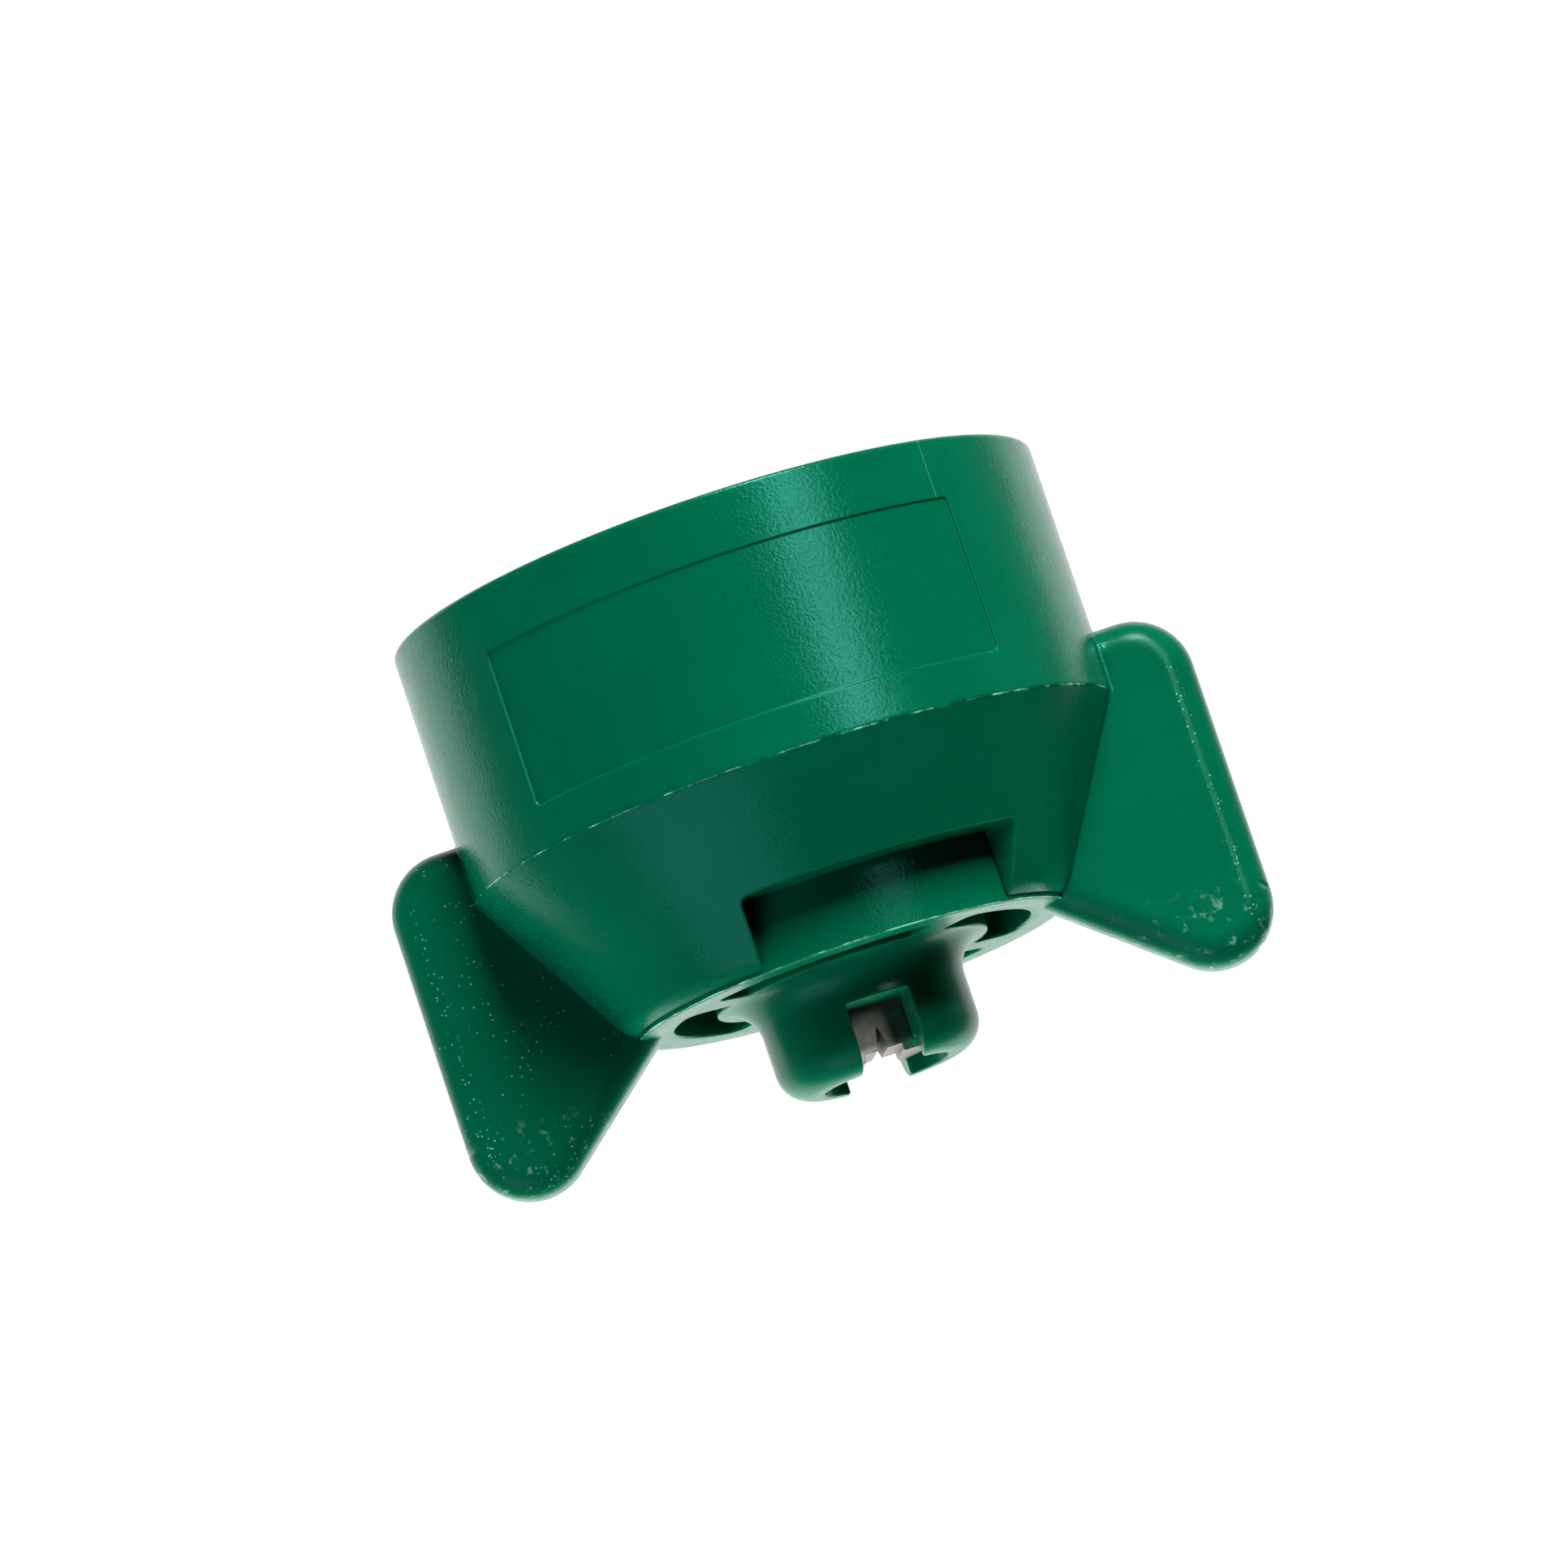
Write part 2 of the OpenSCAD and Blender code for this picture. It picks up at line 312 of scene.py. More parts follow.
def tip_distance(x, y, z):
    """The tip body: nose, flare, end disc, collar and flange, less the way through."""
    r = np.hypot(x, y)
    face = round_max(r - STEP_R, Z_DISC - z, 0.05)
    nose = round_max(r - NOSE_R, Z_NOSE - z, NOSE_ROUND)
    collar = round_max(r - COLLAR_R, Z_DISC + STEP_H - z, 0.03)
    flange = np.maximum(r - FLANGE_R, Z_LEDGE - z)
    body = np.minimum(round_min(face, nose, FLARE_R), np.minimum(collar, flange))
    body = round_max(body, z - Z_SEAT, 0.1)
    body = round_max(body, -pit_distance(x, y, z, r), 0.12)
    sx, sy = across_slot(x, y)
    slot = round_max(np.abs(sx) - SLOT_W / 2, z - Z_SLOT, 0.12)
    dish = round_max(r - DISH_R, z - Z_NOSE - DISH_H, 0.3)
    body = round_max(body, -slot, 0.12)
    body = round_max(body, -dish, 0.12)
    inlet = np.maximum(r - INLET_R, Z_INLET - z)
    taper = math.atan((INLET_R - THROAT_R) / (Z_INLET - Z_THROAT))
    funnel = (r - THROAT_R - (z - Z_THROAT) * math.tan(taper)) * math.cos(taper)
    funnel = np.maximum(np.maximum(funnel, Z_THROAT - z), z - Z_INLET)
    seat = np.maximum(np.maximum(r - THROAT_R, Z_INSERT - z), z - Z_THROAT)
    barrel = np.maximum(r - INSERT_R - 0.01, z - Z_INSERT)
    passage = np.minimum(np.minimum(inlet, funnel), np.minimum(seat, barrel))
    return round_max(body, -passage, 0.04)


def insert_distance(x, y, z):
    """The steel insert: head and barrel, less the flats, channel, groove and passage."""
    r = np.hypot(x, y)
    sx, sy = across_slot(x, y)
    head = np.maximum(r - HEAD_R, Z_INSERT - z)
    barrel = round_max(r - INSERT_R, Z_LAND - z, 0.06)
    barrel = round_max(barrel, -np.maximum(INSERT_T / 2 - np.abs(sy), z - Z_SLOT), 0.04)
    body = round_max(np.minimum(head, barrel), z - Z_THROAT, 0.05)
    channel = round_max(np.abs(sx) - CHANNEL_W / 2, z - Z_CHANNEL, 0.04)
    body = round_max(body, -channel, 0.04)
    half_angle = math.atan(GROOVE_W / 2 / GROOVE_H)
    groove = (np.abs(sx) - (Z_CHANNEL + GROOVE_H - z) * math.tan(half_angle)) * math.cos(half_angle)
    body = round_max(body, -groove, 0.03)
    ball = np.sqrt(r * r + (z - Z_FLOW) ** 2) - FLOW_R
    flow = np.minimum(np.maximum(r - FLOW_R, Z_FLOW - z), ball)
    return round_max(body, -flow, 0.03)


def gasket_distance(x, y, z):
    """The gasket: a flat ring with rounded outer edges."""
    r = np.hypot(x, y)
    ring = round_max(r - GASKET_R, z - gasket_high.z, GASKET_ROUND)
    ring = round_max(ring, gasket_low.z - z, GASKET_ROUND)
    return round_max(ring, GASKET_HOLE_R - r, 0.15)


# ---------------------------------------------------------------- meshing

BLOCK = 6
CHUNK = 24000
CORNERS = [(i, j, k) for k in (0, 1) for j in (0, 1) for i in (0, 1)]
EDGES = [(a, b) for a in range(8) for b in range(a + 1, 8) if bin(a ^ b).count("1") == 1]


def in_chunks(work, rows, size):
    """work on the rows, some at a time and on several cores, with the results listed in order."""
    parts = [rows[start:start + size] for start in range(0, len(rows), size)]
    with ThreadPoolExecutor(4) as pool:
        return list(pool.map(work, parts))


def distance_at(distance, points):
    """The distance at each of the points, which are rows of x, y and z."""
    return np.concatenate(in_chunks(lambda p: distance(*p.T), points, CHUNK))


class Grid:
    """Where a piece is sampled. A polar grid has its rows along the radius, round Z and along Z, so that
    rims and rings run along its lines. A straight one is turned about Z, so that flats do."""

    def __init__(self, low, high, step, polar=True, turn=0.0):
        self.polar = polar
        self.turn = turn
        if polar:
            reach = math.hypot(high.x, high.y) if high.x > high.y + 0.1 else high.x
            rounds = BLOCK * int(math.ceil(2 * math.pi * high.y / step / BLOCK))
            self.step = np.array([step, 2 * math.pi / rounds, step])
            self.low = np.array([0.0, 0.0, low.z - 2 * step])
            extent = np.array([reach + 2 * step, 2 * math.pi - 1e-6, high.z + 2 * step]) - self.low
            self.wrap = rounds
            self.block = BLOCK * math.hypot(step * reach / high.y, step, step)
        else:
            reach = max(high.x, high.y) + 2 * step
            self.step = np.full(3, step)
            self.low = np.array([-reach, -reach, low.z - 2 * step])
            extent = np.array([reach, reach, high.z + 2 * step]) - self.low
            self.wrap = 0
            self.block = BLOCK * step * math.sqrt(3)
        self.blocks = np.ceil(extent / self.step / BLOCK).astype(int)

    def place(self, cells):
        """Points in the part's frame, from places counted in cells."""
        a, b, z = np.moveaxis(cells * self.step + self.low, -1, 0)
        if self.polar:
            return a * np.cos(b), a * np.sin(b), z
        c, s = math.cos(self.turn), math.sin(self.turn)
        return a * c - b * s, a * s + b * c, z

    def key(self, cells):
        """One whole number for each cell, the same for a cell that is met from either side of the seam."""
        span = self.blocks * BLOCK + 1
        middle = cells[:, 1] % self.wrap if self.wrap else cells[:, 1]
        return (cells[:, 0] * span[1] + middle) * span[2] + cells[:, 2]


def near_blocks(distance, grid):
    """Lowest corners of the blocks, BLOCK cells a side, that the surface passes near."""
    index = np.stack(np.meshgrid(*[np.arange(n) for n in grid.blocks], indexing="ij"), -1)
    index = index.reshape(-1, 3) * BLOCK
    middle = np.stack(grid.place(index + BLOCK / 2), -1)
    return index[np.abs(distance_at(distance, middle)) < grid.block * 0.6]


def active_cells(distance, grid):
    """Cells that the surface passes through, with the distance at their eight corners."""
    side = np.arange(BLOCK + 1)
    local = np.stack(np.meshgrid(side, side, side, indexing="ij"), -1)

    def look(some):
        at = some[:, None, None, None, :] + local
        d = distance(*grid.place(at))
        views = [d[:, i:i + BLOCK, j:j + BLOCK, k:k + BLOCK] for i, j, k in CORNERS]
        inside = sum((v < 0).astype(np.int8) for v in views)
        mixed = (inside > 0) & (inside < 8)
        return at[:, :BLOCK, :BLOCK, :BLOCK][mixed], np.stack([v[mixed] for v in views], -1)

    found = in_chunks(look, near_blocks(distance, grid), CHUNK // len(local) ** 3 + 1)
    return [np.concatenate(part) for part in zip(*found)]


def gradient(distance, points, h=0.004):
    """Direction in which the distance grows fastest, at each point."""
    steps = np.eye(3) * h
    rise = [distance_at(distance, points + d) - distance_at(distance, points - d) for d in steps]
    return np.stack(rise, 1) / (2 * h)


def settle(distance, points, passes=3):
    """Moves points onto the surface along the gradient."""
    for _ in range(passes):
        g = gradient(distance, points)
        d = np.clip(distance_at(distance, points), -0.1, 0.1)
        points = points - g * (d / np.maximum((g * g).sum(1), 0.2))[:, None]
    return points


def net_mesh(distance, grid):
    """Points and quads of a surface net: one point in each cell, one quad across each crossed edge."""
    cells, values = active_cells(distance, grid)
    key = grid.key(cells)
    order = np.argsort(key)
    key, cells, values = key[order], cells[order], values[order]
    corner = np.array(CORNERS, float)
    total, hits = np.zeros((len(cells), 3)), np.zeros(len(cells))
    for a, b in EDGES:
        va, vb = values[:, a], values[:, b]
        cross = (va < 0) != (vb < 0)
        t = np.where(cross, va / np.where(cross, va - vb, 1), 0)[:, None]
        total += np.where(cross[:, None], corner[a] * (1 - t) + corner[b] * t, 0)
        hits += cross
    points = np.stack(grid.place(cells + total / hits[:, None]), -1)
    quads = []
    inside = values < 0
    unit = np.eye(3, dtype=int)
    for axis, far in ((0, 1), (1, 2), (2, 4)):
        crossed = np.nonzero(inside[:, 0] != inside[:, far])[0]
        b, c = unit[(axis + 1) % 3], unit[(axis + 2) % 3]
        base = cells[crossed]
        ring = [base, base - b, base - b - c, base - c]
        quad = np.stack([np.searchsorted(key, grid.key(q)) for q in ring], 1)
        flip = ~inside[crossed, 0]
        quad[flip] = quad[flip][:, ::-1]
        quads.append(quad)
    return points, np.concatenate(quads)


def mesh_of(name, points, faces):
    """A Blender mesh of faces that all have the same number of corners."""
    mesh = bpy.data.meshes.new(name)
    sides = faces.shape[1]
    mesh.vertices.add(len(points))
    mesh.vertices.foreach_set("co", points.astype(np.float32).ravel())
    mesh.loops.add(faces.size)
    mesh.loops.foreach_set("vertex_index", faces.astype(np.int32).ravel())
    mesh.polygons.add(len(faces))
    mesh.polygons.foreach_set("loop_start", np.arange(0, faces.size, sides, dtype=np.int32))
    mesh.update(calc_edges=True)
    return mesh


def moulded_piece(name, distance, grid, faces_wanted):
    """Meshes a distance function, thins the flat stretches out, and sets the exact normals."""
    points, quads = net_mesh(distance, grid)
    points = settle(distance, points)
    obj = bpy.data.objects.new(name, mesh_of(name, points, quads))
    bpy.context.scene.collection.objects.link(obj)
    if 2 * len(quads) > faces_wanted:
        thin = obj.modifiers.new("thin", "DECIMATE")
        thin.ratio = faces_wanted / (2 * len(quads))
        thinned = bpy.data.meshes.new_from_object(obj.evaluated_get(bpy.context.evaluated_depsgraph_get()))
        obj.modifiers.clear()
        obj.data = thinned
    mesh = obj.data
    co = np.empty(len(mesh.vertices) * 3, np.float32)
    mesh.vertices.foreach_get("co", co)
    points = settle(distance, co.reshape(-1, 3).astype(float), 2)
    normals = gradient(distance, points, 0.01)
    normals /= np.maximum(np.linalg.norm(normals, axis=1), 1e-6)[:, None]
    mesh.vertices.foreach_set("co", (points * MM).astype(np.float32).ravel())
    mesh.polygons.foreach_set("use_smooth", np.ones(len(mesh.polygons), bool))
    mesh.update()
    mesh.normals_split_custom_set_from_vertices(normals)
    print(f"{name}: {len(quads)} quads, thinned to {len(mesh.polygons)} faces")
    return obj


# ---------------------------------------------------------------- materials

class Nodes:
    """A material's node tree, with a short way to add a node, set its values and link its inputs."""

    def __init__(self, name):
        self.material = bpy.data.materials.new(name)
        self.material.use_nodes = True
        self.tree = self.material.node_tree
        self.tree.nodes.clear()

    def add(self, kind, settings=None, **inputs):
        node = self.tree.nodes.new("ShaderNode" + kind)
        for key, value in (settings or {}).items():
            setattr(node, key, value)
        for key, value in inputs.items():
            socket = node.inputs[int(key[1:])] if key[1:].isdigit() else node.inputs[key.replace("_", " ")]
            if isinstance(value, bpy.types.NodeSocket):
                self.tree.links.new(value, socket)
            else:
                socket.default_value = value
        return node

    def math(self, operation, a, b=0.0, clamp=False):
        return self.add("Math", {"operation": operation, "use_clamp": clamp}, _0=a, _1=b).outputs[0]

    def ramp(self, value, low, high, to_low=0.0, to_high=1.0):
        """value taken from low..high to to_low..to_high, and held at the ends."""
        settings = {"interpolation_type": "SMOOTHSTEP", "clamp": True}
        return self.add("MapRange", settings, _0=value, _1=low, _2=high, _3=to_low, _4=to_high).outputs[0]

    def noise(self, where, size, detail=2.0, roughness=0.5, seed=0.0):
        """Noise with features of about the given size, in millimetres."""
        at = self.add("VectorMath", {"operation": "ADD"}, _0=where, _1=(seed, seed, seed)).outputs[0]
        return self.add(
            "TexNoise", None, Vector=at, Scale=1 / (size * MM), Detail=detail, Roughness=roughness
        ).outputs["Fac"]

    def spots(self, where, spacing, radius, share, seed=0.0):
        """Small round spots about spacing millimetres apart, of which only a share shows."""
        at = self.add("VectorMath", {"operation": "ADD"}, _0=where, _1=(seed, seed, seed)).outputs[0]
        cells = self.add("TexVoronoi", {"feature": "F1"}, Vector=at, Scale=1 / (spacing * MM))
        spot = self.ramp(cells.outputs["Distance"], radius / spacing, radius / spacing * 0.4)
        pick = self.add("SeparateColor", None, Color=cells.outputs["Color"]).outputs[0]
        return self.math("MULTIPLY", spot, self.math("LESS_THAN", pick, share))

    def mix(self, factor, a, b):
        """a where factor is 0, b where it is 1, as colours."""
        node = self.add("Mix", {"data_type": "RGBA"})
        for key, value in (("Factor", factor), ("A", a), ("B", b)):
            sockets = [k for k in node.inputs if k.name == key and k.enabled]
            if isinstance(value, bpy.types.NodeSocket):
                self.tree.links.new(value, sockets[0])
            else:
                sockets[0].default_value = value
        return [k for k in node.outputs if k.enabled][0]

    def band(self, value, middle, half):
        """1 where value is at middle, fading to 0 at half to either side of it, in millimetres."""
        off = self.math("ABSOLUTE", self.math("SUBTRACT", value, middle * MM))
        return self.ramp(off, half * MM, half * MM * 0.4)

    def bump(self, height, depth, normal=None):
        """A bump whose height of 1 stands depth millimetres proud."""
        inputs = {"Height": height, "Distance": depth * MM, "Strength": 1.0}
        if normal is not None:
            inputs["Normal"] = normal
        return self.add("Bump", None, **inputs).outputs["Normal"]

    def finish(self, shader):
        self.tree.links.new(shader, self.add("OutputMaterial").inputs["Surface"])
        return self.material


def colour(r, g, b):
    """An opaque colour."""
    return (r, g, b, 1.0)


DEEP_GREEN = colour(0.0, 0.069, 0.032)
PLAIN_GREEN = colour(0.0, 0.078, 0.036)
PALE_GREEN = colour(0.0, 0.098, 0.052)
# The pale of the painted highlights on the flash line, mould line, worn lines and collar foot, and of the
# smears and specks.
PALE_MARK = colour(0.30, 0.60, 0.50)
GRAIN_H = 0.030
WAVE_H = 0.03
SPECK_H = 0.004
SEAM_TURN = math.radians(42.8)
SEAM_SIDE = (math.cos(SEAM_TURN), math.sin(SEAM_TURN))
SEAM_HALF = 0.03
WORN_LINE_IN = 1.25      # the worn line on a wing lies this far in from its edge


class Place:
    """Where a point of the moulding is: its coordinates and its distance from the Z axis."""

    def __init__(self, n):
        self.all = n.add("TexCoord").outputs["Object"]
        split = n.add("SeparateXYZ", None, Vector=self.all)
        self.x, self.y, self.z = split.outputs[0], split.outputs[1], split.outputs[2]
        squares = n.math("ADD", n.math("MULTIPLY", self.x, self.x), n.math("MULTIPLY", self.y, self.y))
        self.r = n.math("SQRT", squares)


def clouded_green(n, at):
    """The plastic's own colour, with broad clouds and a few paler streaks."""
    cloud = n.noise(at.all, 9.0, 3.0, 0.55)
    base = n.mix(n.ramp(cloud, 0.35, 0.7), DEEP_GREEN, PLAIN_GREEN)
    streak = n.noise(at.all, 1.6, 4.0, 0.6, 3.1)
    return n.mix(n.ramp(streak, 0.60, 0.78, 0.0, 0.25), base, PALE_GREEN)


def wing_area(n, at):
    """1 on the wings and 0 on the skirt and the cone, by the distance from the cap's own wall."""
    wall = n.add(
        "MapRange", {"clamp": True},
        _0=at.z, _1=Z_DISC * MM, _2=Z_SKIRT * MM, _3=CONE_END_R * MM, _4=CAP_R * MM,
    ).outputs[0]
    return n.ramp(n.math("SUBTRACT", at.r, wall), 0.1 * MM, 0.7 * MM)


def painted_edge_highlights(n, at, on_wing):
    """Painted highlights: a pale broken line along the skirt's flash line, and a pale line along the mould
    line above the label panels.
    """
    broken = n.ramp(n.noise(at.all, 1.3, 4.0, 0.7, 6.1), 0.46, 0.66)
    flash = n.math("MULTIPLY", n.band(at.z, Z_SKIRT, 0.05), broken)
    along_x = n.math("MULTIPLY", at.x, SEAM_SIDE[0])
    along_y = n.math("MULTIPLY", at.y, SEAM_SIDE[1])
    seam = n.band(n.math("ADD", along_x, along_y), 0, SEAM_HALF)
    seam = n.math("MULTIPLY", seam, n.math("MULTIPLY", n.math("LESS_THAN", LABEL_TOP * MM, at.z), 0.25))
    return n.math("MULTIPLY", n.math("MAXIMUM", flash, seam), n.ramp(on_wing, 0.6, 0.2))


def tip_smears(n, at, on_wing):
    """Pale smears at the worn low ends of the wings."""
    smears = n.ramp(n.noise(at.all, 0.7, 5.0, 0.7, 8.2), 0.56, 0.70, 0.0, 0.45)
    smears = n.math("MULTIPLY", smears, n.ramp(at.z, WEAR_Z * MM, (WEAR_Z - 2.5) * MM))
    return n.math("MULTIPLY", smears, on_wing)


def wing_specks_and_glints(n, at, on_wing, worn_line):
    """Pale specks, partly real flecks and partly painted glints: in patches on the wing at -X, and close
    together along the worn lines, where they are painted glints.
    """
    patchy = n.ramp(n.noise(at.all, 3.0, 2.0, 0.5, 7.7), 0.48, 0.58)
    patchy = n.math("MULTIPLY", patchy, n.ramp(at.x, 0.0, -1.0 * MM))
    scatter = n.math("MULTIPLY", n.spots(at.all, 0.26, 0.06, 0.45), patchy)
    # Painted highlight: the close specks along the worn lines stand for glints of light on the worn edge.
    worn_line_glints = n.math("MULTIPLY", n.spots(at.all, 0.22, 0.06, 0.6, 4.4), worn_line)
    return n.math("MULTIPLY", n.math("MAXIMUM", scatter, worn_line_glints), on_wing)


def grain_normal(n, at, smooth, worn_line, specks=None):
    """The spark-eroded grain, weaker where the mould was smooth, on a slight waviness."""
    coarse = n.noise(at.all, 0.18, 2.0, 0.5)
    fine = n.noise(at.all, 0.10, 1.5, 0.5, 1.3)
    grainy = n.math("ADD", n.math("MULTIPLY", coarse, 0.7), n.math("MULTIPLY", fine, 0.3))
    strength = n.math("MAXIMUM", n.ramp(smooth, 0.0, 1.0, 1.0, 0.3), worn_line)
    normal = n.bump(n.math("MULTIPLY", grainy, strength), GRAIN_H)
    normal = n.bump(n.noise(at.all, 4.0, 1.0, 0.5, 5.0), WAVE_H, normal)
    if specks is None:
        return normal
    return n.bump(specks, SPECK_H, normal)


def plastic_shader(n, at, base, smooth, gloss, normal):
    """Acetal: its reflections are tinted, and a little light passes under its surface."""
    rough = n.ramp(n.noise(at.all, 2.2, 3.0, 0.6, 9.0), 0.3, 0.7, 0.15, 0.20)
    rough = n.math("ADD", rough, n.math("MULTIPLY", smooth, 0.06))
    shader = n.add(
        "BsdfPrincipled", None, Base_Color=base, Roughness=rough, IOR=1.48, Normal=normal,
        Specular_Tint=gloss, Subsurface_Weight=0.35,
        Subsurface_Radius=(0.1, 1.0, 0.45), Subsurface_Scale=0.0012,
    )
    return n.finish(shader.outputs[0])


def tinted_gloss(n, smooth):
    """The tint of the reflections: cyan on the grain, and duller where the mould was smooth."""
    return n.mix(smooth, colour(0.2, 1.0, 0.92), colour(0.18, 0.4, 0.38))


def cap_green(name):
    """The cap's moulded green acetal. Its wings are smoother, and worn at their edges and ends."""
    n = Nodes(name)
    at = Place(n)
    on_wing = wing_area(n, at)
    # Painted shade: the label panels' floor is painted darker, for the shade in the shallow recess.
    panel = n.band(at.r, CAP_R - LABEL_DEPTH, 0.06)
    base = n.mix(n.math("MULTIPLY", panel, 0.35), clouded_green(n, at), DEEP_GREEN)
    worn_line = n.band(n.math("ABSOLUTE", at.x), WING_X - WORN_LINE_IN, 0.35)
    worn_line = n.math("MULTIPLY", worn_line, n.ramp(at.z, -12.5 * MM, -14.0 * MM))
    specks = wing_specks_and_glints(n, at, on_wing, worn_line)
    # Painted highlights on the flash line, the mould line and the worn lines, with the real smears at the
    # wing ends and the specks, all mixed towards PALE_MARK.
    marks = n.math("MAXIMUM", painted_edge_highlights(n, at, on_wing), tip_smears(n, at, on_wing))
    marks = n.math("MAXIMUM", specks, marks)
    base = n.mix(n.math("MULTIPLY", marks, 0.55), base, PALE_MARK)
    normal = grain_normal(n, at, on_wing, worn_line, specks)
    return plastic_shader(n, at, base, on_wing, tinted_gloss(n, on_wing), normal)


def tip_green(name):
    """The tip body's green acetal: smooth inside the disc, with a pale painted highlight round the
    collar's foot, and painted shade dulling the collar's reflections.
    """
    n = Nodes(name)
    at = Place(n)
    smooth = n.ramp(at.r, 10.4 * MM, 10.0 * MM)
    end_line = n.band(at.z, Z_NOSE, 0.2)
    # Painted highlight: a pale broken line round the collar's foot, at the disc's edge.
    marks = n.math("MULTIPLY", n.band(at.r, COLLAR_R, 0.12), n.band(at.z, Z_DISC + STEP_H, 0.07))
    marks = n.math("MULTIPLY", marks, n.ramp(n.noise(at.all, 1.6, 4.0, 0.7), 0.42, 0.60))
    base = n.mix(n.math("MULTIPLY", marks, 0.55), clouded_green(n, at), PALE_MARK)
    # Painted shade: the collar's reflections are dulled, for the shade inside the windows.
    on_collar = n.ramp(at.r, 10.8 * MM, 11.0 * MM)
    gloss = n.mix(on_collar, tinted_gloss(n, smooth), colour(0.05, 0.2, 0.19))
    return plastic_shader(n, at, base, smooth, gloss, grain_normal(n, at, smooth, end_line))


def turned_steel(name):
    """Stainless steel with fine turning marks and an uneven tone, bright on the machined lands, and
    painted dark above them as painted shade.
    """
    n = Nodes(name)
    where = n.add("TexCoord").outputs["Object"]
    lines = n.add("VectorMath", {"operation": "MULTIPLY"}, _0=where, _1=(1.0, 1.0, 5.0)).outputs[0]
    marks = n.noise(lines, 0.5, 2.0, 0.5)
    stain = n.noise(where, 0.8, 3.0, 0.6, 2.0)
    bright = n.mix(n.ramp(stain, 0.35, 0.7), colour(0.66, 0.63, 0.56), colour(0.80, 0.76, 0.70))
    dark = n.mix(n.ramp(stain, 0.35, 0.7), colour(0.20, 0.19, 0.17), colour(0.27, 0.26, 0.24))
    z = n.add("SeparateXYZ", None, Vector=where).outputs[2]
    # Painted shade: the face above the lands is painted dark, for how little light it catches.
    base = n.mix(n.ramp(z, (Z_CHANNEL - 0.1) * MM, (Z_CHANNEL + 0.4) * MM), bright, dark)
    rough = n.ramp(marks, 0.3, 0.7, 0.42, 0.52)
    normal = n.bump(marks, 0.001)
    shader = n.add("BsdfPrincipled", None, Base_Color=base, Roughness=rough, Metallic=1.0, Normal=normal)
    return n.finish(shader.outputs[0])


def black_rubber(name):
    """Dull black rubber with a fine skin and a little dust."""
    n = Nodes(name)
    where = n.add("TexCoord").outputs["Object"]
    dust = n.noise(where, 0.9, 4.0, 0.65)
    skin = n.noise(where, 0.16, 2.0, 0.5, 4.0)
    base = n.mix(n.ramp(dust, 0.45, 0.75), colour(0.012, 0.012, 0.013), colour(0.035, 0.034, 0.033))
    rough = n.ramp(dust, 0.3, 0.7, 0.55, 0.75)
    shader = n.add("BsdfPrincipled", None, Base_Color=base, Roughness=rough, Normal=n.bump(skin, 0.012))
    return n.finish(shader.outputs[0])


# ---------------------------------------------------------------- pieces

def dress(obj, material, body, node):
    """Gives a piece its material, and its place in the part: body and replaced node."""
    obj.data.materials.append(material)
    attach(obj, body)
    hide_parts(node)


# Each grid's step is in millimetres. The last number of a piece is how many faces it may have.
coarser = 1.0
cap_grid = Grid(cap_low, cap_high, 0.12 * coarser)
cap = moulded_piece("cap_moulding", cap_distance, cap_grid, 170000)
dress(cap, cap_green("cap_green"), "cap", "cap_shell")
tip_grid = Grid(tip_low, tip_high, 0.09 * coarser)
tip = moulded_piece("tip_moulding", tip_distance, tip_grid, 110000)
dress(tip, tip_green("tip_green"), "cap", "tip_body")
insert_grid = Grid(insert_low, insert_high, 0.06 * coarser, polar=False, turn=SLOT_TURN)
insert = moulded_piece("orifice_metal", insert_distance, insert_grid, 190000)
dress(insert, turned_steel("insert_steel"), "cap", "orifice_insert")
gasket_grid = Grid(gasket_low, gasket_high, 0.2)
gasket = moulded_piece("gasket_ring", gasket_distance, gasket_grid, 30000)
dress(gasket, black_rubber("gasket_black"), "gasket", "seat_gasket")


# ---------------------------------------------------------------- floor, world and lamps

FLOOR_HALF = 1.5
FLOOR_FADE = (0.07, 0.16)


def make_floor():
    """A pale floor under the wing tips. It fades out some way off, and can't be seen from below."""
    half = FLOOR_HALF
    points = np.array([(-half, -half, 0), (half, -half, 0), (half, half, 0), (-half, half, 0)], float)
    floor = bpy.data.objects.new("floor", mesh_of("floor", points, np.array([(0, 1, 2, 3)])))
    floor.location.z = WING_LOW * MM
    bpy.context.scene.collection.objects.link(floor)
    n = Nodes("floor_pale")
    where = n.add("TexCoord").outputs["Object"]
    away = n.add("VectorMath", {"operation": "LENGTH"}, _0=where).outputs["Value"]
    fade = n.ramp(away, *FLOOR_FADE)
    under = n.add("NewGeometry").outputs["Backfacing"]
    hidden = n.math("MAXIMUM", fade, under)
    pale = n.add("BsdfDiffuse", None, Color=colour(0.84, 0.84, 0.84))
    clear = n.add("BsdfTransparent")
    shown = n.add("MixShader", None, _0=hidden, _1=pale.outputs[0], _2=clear.outputs[0])
    floor.data.materials.append(n.finish(shown.outputs[0]))
    floor.visible_diffuse = False
    floor.visible_glossy = False
    floor.visible_shadow = False


BACKDROP_AHEAD = (-0.1, 1.0, 0.15)
BACKDROP_EDGE = (0.46, 0.64)
STUDIO_LEVEL = 0.03
LAMP_DISTANCE = 0.7
WHITE = (1, 1, 1)
COOL = (0.8, 0.95, 1.1)

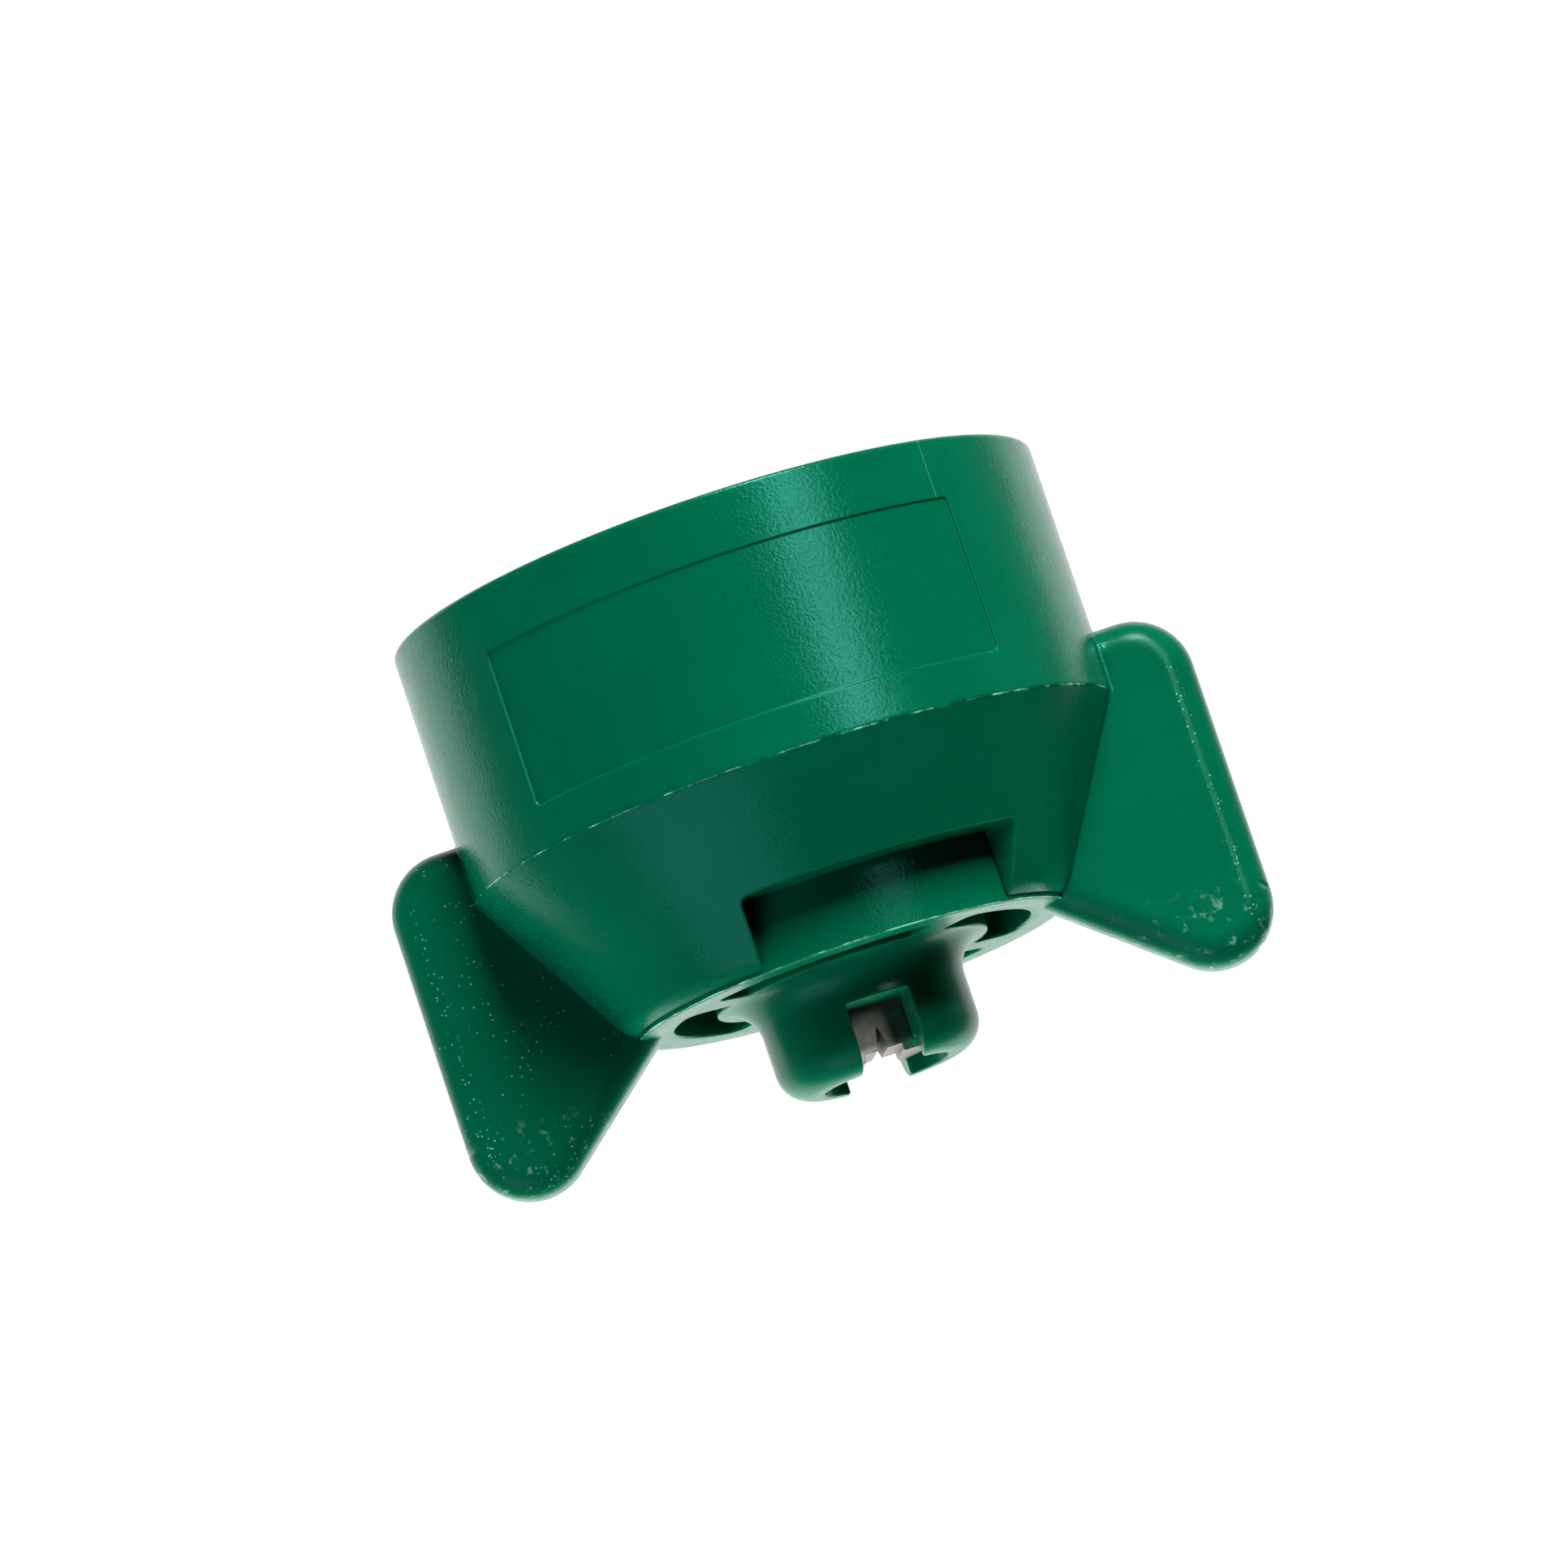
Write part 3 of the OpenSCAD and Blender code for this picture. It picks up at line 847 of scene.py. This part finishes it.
# Name, azimuth and elevation in degrees, width and height in metres, watts, what it lights, colour
LAMPS = [
    ("key", 32, 43, 0.30, 0.44, 16.8, "body", WHITE),
    ("key_sheen", 32, 24, 0.19, 0.62, 2.0, "gloss", WHITE),
    ("key_glint", 28, 52, 0.24, 0.22, 3.2, "gloss", WHITE),
    ("low_left", -70, -51, 0.5, 0.5, 6.4, "body", COOL),
    ("low_left_glint", -46, -49, 0.5, 0.5, 0.6, "gloss", COOL),
    ("left_rim", -115, 0, 0.4, 0.4, 9.0, "body", WHITE),
    ("right_rim", 127, 0, 0.4, 0.4, 4.8, "body", WHITE),
    ("back", 180, -45, 0.4, 0.4, 20.0, "body", WHITE),
]


def make_world():
    """White for the camera. Round the part stand a white backdrop behind it, and a dark studio in
    front of it, which shows only in reflections."""
    world = bpy.data.worlds.new("studio")
    bpy.context.scene.world = world
    world.use_nodes = True
    tree = world.node_tree
    tree.nodes.clear()

    def add(kind, inputs, **settings):
        node = tree.nodes.new("ShaderNode" + kind)
        for key, value in settings.items():
            setattr(node, key, value)
        for index, value in inputs.items():
            if isinstance(value, bpy.types.NodeSocket):
                tree.links.new(value, node.inputs[index])
            else:
                node.inputs[index].default_value = value
        return node

    path = add("LightPath", {})
    ahead = {0: add("TexCoord", {}).outputs["Generated"], 1: BACKDROP_AHEAD}
    behind = add("VectorMath", ahead, operation="DOT_PRODUCT").outputs["Value"]
    edge = {0: behind, 1: BACKDROP_EDGE[0], 2: BACKDROP_EDGE[1], 3: 0.0, 4: 1.0}
    shown = add("MapRange", edge, interpolation_type="SMOOTHSTEP", clamp=True).outputs[0]
    dim = add("Math", {0: path.outputs["Is Glossy Ray"], 1: STUDIO_LEVEL}, operation="MULTIPLY").outputs[0]
    round_about = add("Mix", {0: shown, 2: dim, 3: 1.0}, data_type="FLOAT").outputs[0]
    seen = {0: path.outputs["Is Camera Ray"], 2: round_about, 3: 1.0}
    level = add("Mix", seen, data_type="FLOAT").outputs[0]
    add("OutputWorld", {0: add("Background", {0: colour(1, 1, 1), 1: level}).outputs[0]})


def soft_lamp(name, azimuth, elevation, width, height, watts, lights, tint):
    """A soft box that faces the part. Azimuth 0 is in front, at -Y, and grows towards +X. It lights
    the surfaces alone ("body") or shows in the reflections alone ("gloss")."""
    a, e = math.radians(azimuth), math.radians(elevation)
    out = Vector((math.sin(a) * math.cos(e), -math.cos(a) * math.cos(e), math.sin(e)))
    data = bpy.data.lights.new(name, "AREA")
    data.shape = "RECTANGLE"
    data.size, data.size_y = width, height
    data.energy = watts
    data.color = tint
    lamp = bpy.data.objects.new(name, data)
    lamp.location = centre + out * LAMP_DISTANCE
    lamp.rotation_mode = "QUATERNION"
    lamp.rotation_quaternion = out.to_track_quat("Z", "Y")
    lamp.visible_camera = False
    lamp.visible_glossy = lights != "body"
    lamp.visible_diffuse = lights != "gloss"
    bpy.context.scene.collection.objects.link(lamp)


def make_camera():
    """The photograph's viewpoint: a long lens a little below the part, rolled clockwise."""
    yaw, pitch, roll = math.radians(-0.6055), math.radians(8.815), math.radians(18.60)
    ahead = Vector((math.sin(yaw) * math.cos(pitch), math.cos(yaw) * math.cos(pitch), math.sin(pitch)))
    level = Vector((math.cos(yaw), -math.sin(yaw), 0))
    up = level.cross(ahead)
    tilted_up = up * math.cos(roll) + level * math.sin(roll)
    right = ahead.cross(tilted_up)
    turn = Matrix((right, tilted_up, -ahead)).transposed()
    data = bpy.data.cameras.new("camera")
    data.sensor_width = 36.0
    data.lens = 212.67
    data.clip_start, data.clip_end = 0.01, 20.0
    camera = bpy.data.objects.new("camera", data)
    camera.matrix_world = Matrix.Translation(Vector((4.79, -476.8, -86.6)) * MM) @ turn.to_4x4()
    bpy.context.scene.collection.objects.link(camera)
    bpy.context.scene.camera = camera


centre = (cad_box[0] + cad_box[1]) / 2
make_floor()
make_world()
for lamp_values in LAMPS:
    soft_lamp(*lamp_values)
make_camera()

view = bpy.context.scene.view_settings
view.view_transform = "Standard"
